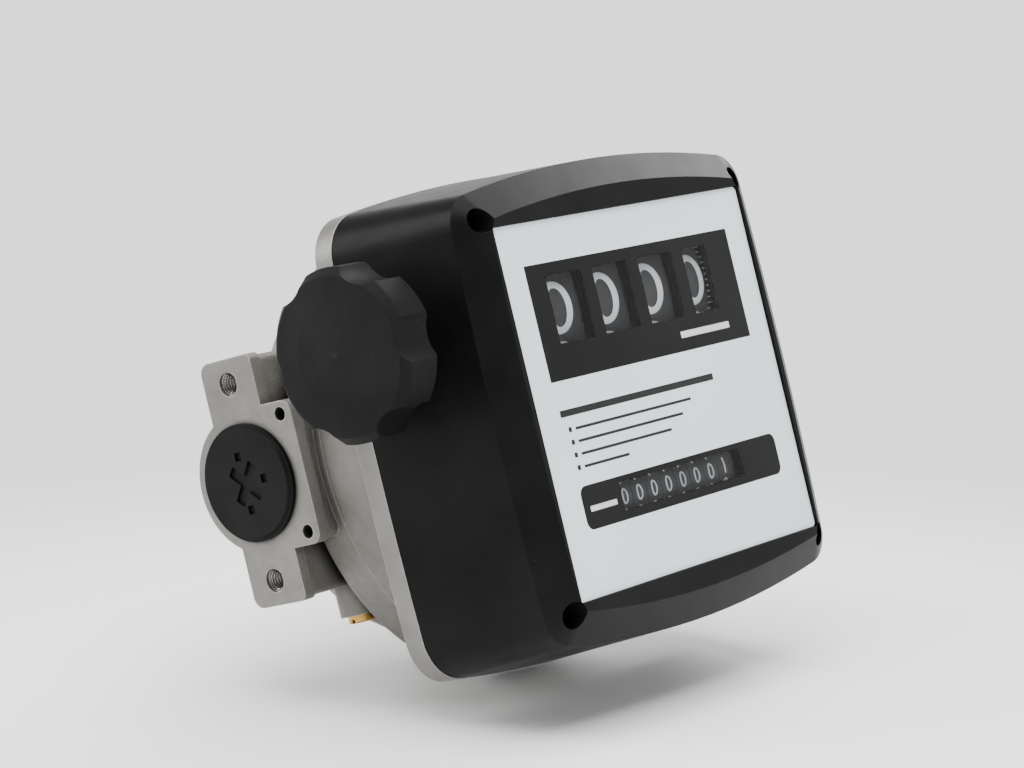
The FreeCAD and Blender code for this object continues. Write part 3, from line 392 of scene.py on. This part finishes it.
def clear_pane():
    """Thin clear window: it lets light through and keeps a soft gloss at the surface."""
    material = bpy.data.materials.new("clear_pane")
    material.use_nodes = True
    material.node_tree.nodes.remove(shader_of(material))
    haze = place_texture(material, "ShaderNodeTexNoise", 25, Detail=2.0)
    tint = ramp(material, haze.outputs["Fac"], 0.3, 0.7, (0.88, 0.89, 0.90), (0.94, 0.95, 0.96))
    through = node(material, "ShaderNodeBsdfTransparent")
    gloss = node(material, "ShaderNodeBsdfGlossy", Roughness=0.06)
    slant = node(material, "ShaderNodeLayerWeight", Blend=0.5)
    steep = node(material, "ShaderNodeMath", operation="POWER")
    steep.inputs[1].default_value = 5.0
    mirror = node(material, "ShaderNodeMath", operation="MULTIPLY_ADD")
    mirror.inputs[1].default_value = 0.9
    mirror.inputs[2].default_value = 0.010
    mix = node(material, "ShaderNodeMixShader")
    link(material, slant.outputs["Facing"], steep.inputs[0])
    link(material, steep.outputs["Value"], mirror.inputs[0])
    link(material, tint, through.inputs["Color"])
    link(material, mirror.outputs["Value"], mix.inputs["Fac"])
    link(material, through.outputs["BSDF"], mix.inputs[1])
    link(material, gloss.outputs["BSDF"], mix.inputs[2])
    link(material, mix.outputs["Shader"], surface_of(material))
    return material


def make_materials():
    return {
        "cast_alloy": cast_alloy(),
        "machined_alloy": machined_alloy(),
        "thread_metal": thread_metal(),
        "zinc_steel": turned_metal("zinc_steel", (0.60, 0.60, 0.60), 0.32),
        "brass": turned_metal("brass", (0.46, 0.27, 0.075), 0.34),
        "frame_steel": moulded("frame_steel", (0.02, 0.02, 0.02), 0.45, grain_scale=1200),
        "nitrile": moulded("nitrile", (0.018, 0.018, 0.018), 0.7),
        "grey_plastic": plug_plastic(),
        "chamber_plastic": moulded("chamber_plastic", (0.06, 0.06, 0.06), 0.5),
        "disc_plastic": moulded("disc_plastic", (0.70, 0.68, 0.60), 0.42),
        "gear_plastic": moulded("gear_plastic", (0.76, 0.73, 0.64), 0.4),
        "wheel_plastic": moulded("wheel_plastic", (0.010, 0.010, 0.011), 0.5, grain_depth=0.03,
                                 specular=0.3),
        "cover_plastic": moulded("cover_plastic", (0.0030, 0.0030, 0.0031), 0.38, specular=0.07,
                                 swing=0.02),
        "knob_plastic": moulded("knob_plastic", (0.0040, 0.0040, 0.0045), 0.55, specular=0.09,
                                grain_scale=1500, grain_depth=0.05, edge=0.6),
        "dial_print": dial_print(),
        "dark_print": dark_print(),
        "clear_pane": clear_pane(),
        "white_ink": moulded("white_ink", (0.58, 0.58, 0.57), 0.5, grain_depth=0.01),
        "dark_ink": flat_ink(),
    }


MATERIALS = make_materials()


def dress_frame():
    """Gives each CAD node the finished material of its record slot."""
    for part in frame["record"]["subparts"]:
        if part["material_slot"] in MATERIALS:
            mesh = NODES[part["node"]].data
            mesh.materials.clear()
            mesh.materials.append(MATERIALS[part["material_slot"]])


# ---------------------------------------------------------------- mesh tools

def add_piece(name, mesh, material, body):
    """Puts a mesh in the scene with a finished material, riding on a CAD body."""
    piece = bpy.data.objects.new(name, mesh)
    bpy.context.scene.collection.objects.link(piece)
    mesh.materials.append(MATERIALS[material])
    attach(piece, body)
    return piece


def mesh_from(name, vertices, faces):
    """A mesh with merged points and outward normals."""
    mesh = bpy.data.meshes.new(name)
    mesh.from_pydata(vertices, [], faces)
    builder = bmesh.new()
    builder.from_mesh(mesh)
    bmesh.ops.remove_doubles(builder, verts=builder.verts, dist=1e-7)
    bmesh.ops.recalc_face_normals(builder, faces=builder.faces)
    builder.to_mesh(mesh)
    builder.free()
    return mesh


def prism(name, outline, back, front):
    """A flat outline in X and Z, given depth along Y."""
    count = len(outline)
    vertices = [(x, y, z) for y in (back, front) for x, z in outline]
    sides = [(index, (index + 1) % count, count + (index + 1) % count, count + index)
             for index in range(count)]
    faces = [tuple(range(count)), tuple(range(count, 2 * count))] + sides
    return mesh_from(name, vertices, faces)


def rounded_outline(low_x, high_x, low_z, high_z, radius, steps=8):
    """A rectangle in X and Z with round corners, anticlockwise."""
    corners = ((high_x - radius, high_z - radius, 0), (low_x + radius, high_z - radius, 90),
               (low_x + radius, low_z + radius, 180), (high_x - radius, low_z + radius, 270))
    points = []
    for x, z, start in corners:
        for step in range(steps + 1):
            angle = math.radians(start + 90 * step / steps)
            points.append((x + radius * math.cos(angle), z + radius * math.sin(angle)))
    return points


def plate_with_holes(name, outline, holes, back, front):
    """A flat plate along Y with closed walls round its outline and each of its holes."""
    builder = bmesh.new()
    loops = []
    for points in [outline] + holes:
        vertices = [builder.verts.new((x, back, z)) for x, z in points]
        edges = [builder.edges.new((vertices[index], vertices[(index + 1) % len(vertices)]))
                 for index in range(len(vertices))]
        loops += edges
    bmesh.ops.triangle_fill(builder, use_beauty=True, edges=loops)
    faces = builder.faces[:]
    extruded = bmesh.ops.extrude_face_region(builder, geom=faces)
    moved = [item for item in extruded["geom"] if isinstance(item, bmesh.types.BMVert)]
    bmesh.ops.translate(builder, verts=moved, vec=(0, front - back, 0))
    bmesh.ops.recalc_face_normals(builder, faces=builder.faces)
    mesh = bpy.data.meshes.new(name)
    builder.to_mesh(mesh)
    builder.free()
    return mesh


# ---------------------------------------------------------------- numerals

def glyph_mesh(text):
    """The flat mesh of a plain sans numeral, scaled to a unit square."""
    curve = bpy.data.curves.new("glyph", "FONT")
    curve.body = text
    curve.resolution_u = 6
    item = bpy.data.objects.new("glyph", curve)
    bpy.context.scene.collection.objects.link(item)
    bpy.context.view_layer.update()
    evaluated = item.evaluated_get(bpy.context.evaluated_depsgraph_get())
    builder = bmesh.new()
    builder.from_mesh(evaluated.to_mesh())
    evaluated.to_mesh_clear()
    bpy.data.objects.remove(item)
    bpy.data.curves.remove(curve)
    xs = [vertex.co.x for vertex in builder.verts]
    ys = [vertex.co.y for vertex in builder.verts]
    centre = Vector(((min(xs) + max(xs)) / 2, (min(ys) + max(ys)) / 2, 0))
    extent = Vector((max(xs) - min(xs), max(ys) - min(ys), 1))
    for vertex in builder.verts:
        offset = vertex.co - centre
        vertex.co = Vector((offset.x / extent.x, offset.y / extent.y, 0))
    return builder, extent.x / extent.y


def slice_rows(builder, rows):
    """Cuts a flat glyph into level rows, so that it can bend."""
    for row in range(1, rows):
        geometry = builder.verts[:] + builder.edges[:] + builder.faces[:]
        level = row / rows - 0.5
        bmesh.ops.bisect_plane(builder, geom=geometry, plane_co=(0, level, 0), plane_no=(0, 1, 0))


def wrap_on_drum(builder, target, centre, radius, height, width, offset, angle, ink):
    """Bends a flat glyph round a drum whose axis is X, raised by the ink's thickness."""
    faces = builder.faces[:]
    extruded = bmesh.ops.extrude_face_region(builder, geom=faces)
    raised = {item for item in extruded["geom"] if isinstance(item, bmesh.types.BMVert)}
    for vertex in builder.verts:
        turn = angle + vertex.co.y * height / radius
        reach = radius + (ink if vertex in raised else -ink)
        along = centre.x + offset + vertex.co.x * width
        vertex.co = Vector((along, centre.y - reach * math.cos(turn), centre.z + reach * math.sin(turn)))
    bmesh.ops.recalc_face_normals(builder, faces=builder.faces)
    scratch = bpy.data.meshes.new("scratch")
    builder.to_mesh(scratch)
    builder.free()
    target.from_mesh(scratch)
    bpy.data.meshes.remove(scratch)


def drum_numerals(name, body, joint, radius, height, width, offset, value):
    """Ten numerals round a counter wheel; the next higher one comes down from above."""
    centre = Vector(JOINTS[joint]["pos_m"])
    target = bmesh.new()
    for number in range(10):
        builder, ratio = glyph_mesh(str(number))
        slice_rows(builder, NUMERAL_ROWS)
        narrow = width * min(1.0, ratio / NUMERAL_RATIO)
        angle = math.radians(36 * (number - value))
        wrap_on_drum(builder, target, centre, radius, height, narrow, offset, angle, INK_DEPTH * MM)
    mesh = bpy.data.meshes.new(name)
    target.to_mesh(mesh)
    target.free()
    add_piece(name, mesh, "white_ink", body)


def drum_marks(name, body, joint, radius):
    """Tenth marks beside the units numerals: a hundred short dashes, each fifth one longer."""
    centre = Vector(JOINTS[joint]["pos_m"])
    target = bmesh.new()
    pitch = 360 / TENTH_MARKS
    for index in range(TENTH_MARKS):
        builder = bmesh.new()
        bmesh.ops.create_grid(builder, x_segments=1, y_segments=2, size=0.5)
        width, offset = LONG_MARK if index % 5 == 0 else SHORT_MARK
        angle = math.radians(pitch * (index + 0.5))
        wrap_on_drum(builder, target, centre, radius, MARK_HEIGHT * MM, width * MM, offset * MM, angle,
                     INK_DEPTH * MM)
    mesh = bpy.data.meshes.new(name)
    target.to_mesh(mesh)
    target.free()
    add_piece(name, mesh, "white_ink", body)


def make_numerals():
    """Numerals on the four counter wheels and the eight totaliser wheels."""
    for number in range(1, 5):
        body = f"number_wheel_{number}"
        width, offset = UNITS_NUMERAL if number == 4 else WIDE_NUMERAL
        drum_numerals(f"numerals_{number}", body, f"{body}_spin", WHEEL_RADIUS * MM, NUMERAL_HEIGHT * MM,
                      width * MM, offset * MM, 0)
    drum_marks("tenth_marks", "number_wheel_4", "number_wheel_4_spin", WHEEL_RADIUS * MM)
    width, offset = TOTAL_NUMERAL
    for number in range(1, 9):
        body = f"total_wheel_{number}"
        value = LAST_TOTAL_READING if number == 8 else 0
        drum_numerals(f"total_numerals_{number}", body, f"{body}_spin", TOTAL_RADIUS * MM,
                      TOTAL_NUMERAL_HEIGHT * MM, width * MM, offset * MM, value)


# ---------------------------------------------------------------- dial

def millimetres(points):
    return [(x * MM, z * MM) for x, z in points]


def square(low_x, high_x, low_z, high_z):
    return [(low_x, low_z), (high_x, low_z), (high_x, high_z), (low_x, high_z)]


def make_dial():
    """The pane in place of the CAD plate: pale print, dark display field and clear windows."""
    low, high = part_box("faceplate")
    back, front = high.y, low.y
    outline = rounded_outline(low.x, high.x, low.z, high.z, PANE_CORNER * MM, 4)
    display = millimetres(square(*DISPLAY))
    total = millimetres(rounded_outline(*TOTAL_FIELD, TOTAL_FIELD_CORNER))
    pale = plate_with_holes("dial_pane", outline, [display, total], back, front)
    pane = add_piece("dial_pane", pale, "dial_print", "housing")
    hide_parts("faceplate")
    windows = [millimetres(square(left, right, *WINDOWS_UP)) for left, right in WINDOWS_ACROSS]
    field = plate_with_holes("display_field", display, windows, back, front)
    add_piece("display_field", field, "dark_print", "housing")
    for number, window in enumerate(windows, start=1):
        mesh = prism(f"clear_window_{number}", window, back, front)
        add_piece(f"clear_window_{number}", mesh, "clear_pane", "housing")
    inner = millimetres(rounded_outline(*TOTAL_WINDOW, TOTAL_WINDOW_CORNER))
    field = plate_with_holes("total_field", total, [inner], back, front)
    add_piece("total_field", field, "dark_print", "housing")
    mesh = prism("total_window", inner, back, front)
    add_piece("total_window", mesh, "clear_pane", "housing")


def ink_bar(name, low_x, high_x, low_z, high_z, material):
    """A thin bar of ink that stands just proud of the pane."""
    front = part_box("faceplate")[0].y
    corner = min(BAR_CORNER, (high_z - low_z) / 2.01)
    outline = millimetres(rounded_outline(low_x, high_x, low_z, high_z, corner, 3))
    mesh = prism(name, outline, front + BAR_SUNK * MM, front - BAR_PROUD * MM)
    add_piece(name, mesh, material, "housing")


def make_legends():
    """Plain ruled bars where the real dial has words."""
    ink_bar("heading_rule", *HEADING_RULE, "dark_ink")
    rule_bottom, rule_top = ROW_RULE_BELOW_TOP
    for row, width in enumerate(ROW_WIDTHS):
        top = FIRST_ROW_TOP - row * ROW_PITCH
        ink_bar(f"row_bullet_{row + 1}", *ROW_BULLET, top - BULLET_HEIGHT, top, "dark_ink")
        ink_bar(f"row_rule_{row + 1}", ROW_START, ROW_START + width, top - rule_bottom, top - rule_top,
                "dark_ink")
    ink_bar("unit_rule", *UNIT_RULE, "white_ink")
    ink_bar("total_rule", *TOTAL_RULE, "white_ink")


# ---------------------------------------------------------------- threads and small screws

def thread_wall(name, mouth, axis, radius):
    """A threaded wall: a zigzag section carried round as a helix, inwards from the mouth of a hole."""
    side = axis.orthogonal().normalized()
    other = axis.cross(side)
    steps = THREAD_STEPS
    pitch = THREAD_PITCH * MM
    turns = int(THREAD_LENGTH / THREAD_PITCH)
    backing = radius + THREAD_BACKING * MM
    crest = radius - THREAD_DEPTH * MM
    section = ((0.0, backing), (0.0, radius), (pitch / 2, crest), (pitch, radius), (pitch, backing))
    vertices = []
    faces = []
    for step in range(turns * steps + 1):
        angle = 2 * math.pi * step / steps
        along = pitch * step / steps
        ring = side * math.cos(angle) + other * math.sin(angle)
        for shift, reach in section:
            vertices.append(mouth - axis * (along + shift) + ring * reach)
    width = len(section)
    for step in range(turns * steps):
        for index in range(width):
            after = (index + 1) % width
            faces.append((step * width + index, step * width + after,
                          (step + 1) * width + after, (step + 1) * width + index))
    faces.append(tuple(range(width)))
    faces.append(tuple(turns * steps * width + index for index in range(width)))
    mesh = bpy.data.meshes.new(name)
    mesh.from_pydata(vertices, [], faces)
    add_piece(name, mesh, "thread_metal", "housing")


def make_threads():
    """Tapped walls for the two flange holes of each port, at the places that the record's mounts give."""
    for port in ("inlet", "outlet"):
        mount = MOUNTS[f"{port}_bolts"]
        axis = Vector(mount["axis"])
        mouth = Vector(mount["pos_m"]) - axis * THREAD_INSET * MM
        apart = Vector((0, 0, mount["dims"]["spacing_y_mm"] / 2 * MM))
        radius = mount["dims"]["hole_r_mm"] * MM
        thread_wall(f"{port}_upper_thread", mouth + apart, axis, radius)
        thread_wall(f"{port}_lower_thread", mouth - apart, axis, radius)


def make_frame_screws():
    """Round-headed screws that hold the counter frame's feet to the base plate."""
    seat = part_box("base_plate")[0].y - SCREW_SUNK * MM
    slot_reach, slot_depth = SCREW_SLOT
    for number, (x, z) in enumerate(SCREW_PLACES, start=1):
        builder = bmesh.new()
        bmesh.ops.create_uvsphere(builder, u_segments=24, v_segments=12, radius=SCREW_RADIUS * MM)
        for vertex in builder.verts:
            depth = max(0.0, -vertex.co.y) * SCREW_FLATNESS
            in_slot = abs(vertex.co.z) < slot_reach * MM and vertex.co.y < 0
            slot = slot_depth * MM if in_slot else 0.0
            vertex.co = Vector((x * MM + vertex.co.x, seat - depth + slot, z * MM + vertex.co.z))
        mesh = bpy.data.meshes.new(f"frame_screw_{number}")
        bmesh.ops.remove_doubles(builder, verts=builder.verts, dist=1e-6)
        builder.to_mesh(mesh)
        builder.free()
        add_piece(f"frame_screw_{number}", mesh, "zinc_steel", "housing")


# ---------------------------------------------------------------- stage, light and camera

def camera_axes():
    """The camera's right, up and forward directions."""
    level = math.cos(ELEVATION)
    forward = Vector((math.sin(AZIMUTH) * level, math.cos(AZIMUTH) * level, -math.sin(ELEVATION)))
    flat_right = forward.cross(Vector((0, 0, 1))).normalized()
    flat_up = flat_right.cross(forward)
    right = flat_right * math.cos(ROLL) - flat_up * math.sin(ROLL)
    up = flat_right * math.sin(ROLL) + flat_up * math.cos(ROLL)
    return right, up, forward


def make_camera():
    right, up, forward = camera_axes()
    data = bpy.data.cameras.new("camera")
    data.lens = FOCAL_LENGTH
    data.sensor_width = SENSOR_WIDTH
    camera = bpy.data.objects.new("camera", data)
    bpy.context.scene.collection.objects.link(camera)
    turn = Matrix((right, up, -forward)).transposed().to_4x4()
    camera.matrix_world = Matrix.Translation(AIM - forward * DISTANCE) @ turn
    bpy.context.scene.camera = camera


def floor_axes():
    """The floor lies level in the picture, with the camera looking slightly down on it."""
    right, up, forward = camera_axes()
    normal = up * math.cos(LOOK_DOWN) - forward * math.sin(LOOK_DOWN)
    ahead = normal.cross(right) * -1
    return right, ahead, normal


def floor_mesh(right, ahead):
    """A round sheet of rings about its own centre."""
    steps = FLOOR_STEPS
    turns = [2 * math.pi * step / steps for step in range(steps)]
    points = [(right * math.cos(turn) + ahead * math.sin(turn)) * radius
              for radius in FLOOR_RINGS for turn in turns]
    faces = [tuple(range(steps))]
    for inner in range(0, steps * (len(FLOOR_RINGS) - 1), steps):
        outer = inner + steps
        for step in range(steps):
            after = (step + 1) % steps
            faces.append((inner + step, inner + after, outer + after, outer + step))
    return mesh_from("floor", points, faces)


def make_floor():
    """Pale paper just under the object's lowest point."""
    right, ahead, normal = floor_axes()
    lowest = min(normal.dot(vertex.co) for name in ("meter_body", "base_plate", "counter_cover")
                 for vertex in NODES[name].data.vertices)
    centre = AIM - normal * (normal.dot(AIM) - lowest + FLOOR_GAP)
    floor = bpy.data.objects.new("floor", floor_mesh(right, ahead))
    floor.location = centre
    bpy.context.scene.collection.objects.link(floor)
    material = new_material("floor_paper", (0.93, 0.93, 0.925), 0.6)
    vary_color(material, 3, (0.92, 0.92, 0.915), (0.94, 0.94, 0.935))
    grain(material, 500, 0.05, 0.05)
    fade_rim(material)
    floor.data.materials.append(material)


def fade_rim(material):
    """The paper thins out to nothing towards its rim, so no edge stands against the backdrop."""
    coordinates = node(material, "ShaderNodeTexCoord")
    reach = node(material, "ShaderNodeVectorMath", operation="LENGTH")
    share = node(material, "ShaderNodeMapRange", interpolation_type="SMOOTHSTEP")
    share.inputs["From Min"].default_value = FADE_START
    share.inputs["From Max"].default_value = FADE_END
    nothing = node(material, "ShaderNodeBsdfTransparent")
    mix = node(material, "ShaderNodeMixShader")
    link(material, coordinates.outputs["Object"], reach.inputs[0])
    link(material, reach.outputs["Value"], share.inputs["Value"])
    link(material, share.outputs["Result"], mix.inputs["Fac"])
    link(material, shader_of(material).outputs["BSDF"], mix.inputs[1])
    link(material, nothing.outputs["BSDF"], mix.inputs[2])
    link(material, mix.outputs["Shader"], surface_of(material))


def add_area(name, place, size, power):
    """A softbox at a place given along the floor's axes, turned towards the object."""
    right, ahead, normal = floor_axes()
    data = bpy.data.lights.new(name, "AREA")
    data.shape = "RECTANGLE"
    data.size, data.size_y = size
    data.energy = power
    light = bpy.data.objects.new(name, data)
    bpy.context.scene.collection.objects.link(light)
    light.location = AIM + right * place[0] + ahead * place[1] + normal * place[2]
    light.rotation_euler = (AIM - light.location).to_track_quat("-Z", "Y").to_euler()


def make_walls():
    """White walls all round and below, under a dimmer ceiling that the dark cover mirrors."""
    world = bpy.data.worlds.new("studio")
    world.use_nodes = True
    background = world.node_tree.nodes["Background"]
    background.inputs["Color"].default_value = (1, 1, 1, 1)
    directions = node(world, "ShaderNodeTexCoord")
    height = node(world, "ShaderNodeVectorMath", operation="DOT_PRODUCT")
    height.inputs[1].default_value = floor_axes()[2]
    level = node(world, "ShaderNodeMapRange", interpolation_type="SMOOTHSTEP")
    level.inputs["From Min"].default_value = math.sin(WALL_TOP)
    level.inputs["From Max"].default_value = math.sin(CEILING_EDGE)
    level.inputs["To Min"].default_value = WALL_LEVEL
    level.inputs["To Max"].default_value = CEILING_LEVEL
    link(world, directions.outputs["Generated"], height.inputs[0])
    link(world, height.outputs["Value"], level.inputs["Value"])
    link(world, level.outputs["Result"], background.inputs["Strength"])
    bpy.context.scene.world = world


def make_lights():
    for lamp in LAMPS:
        add_area(*lamp)


dress_frame()
make_dial()
make_legends()
make_numerals()
make_threads()
make_frame_screws()
make_camera()
make_floor()
make_walls()
make_lights()
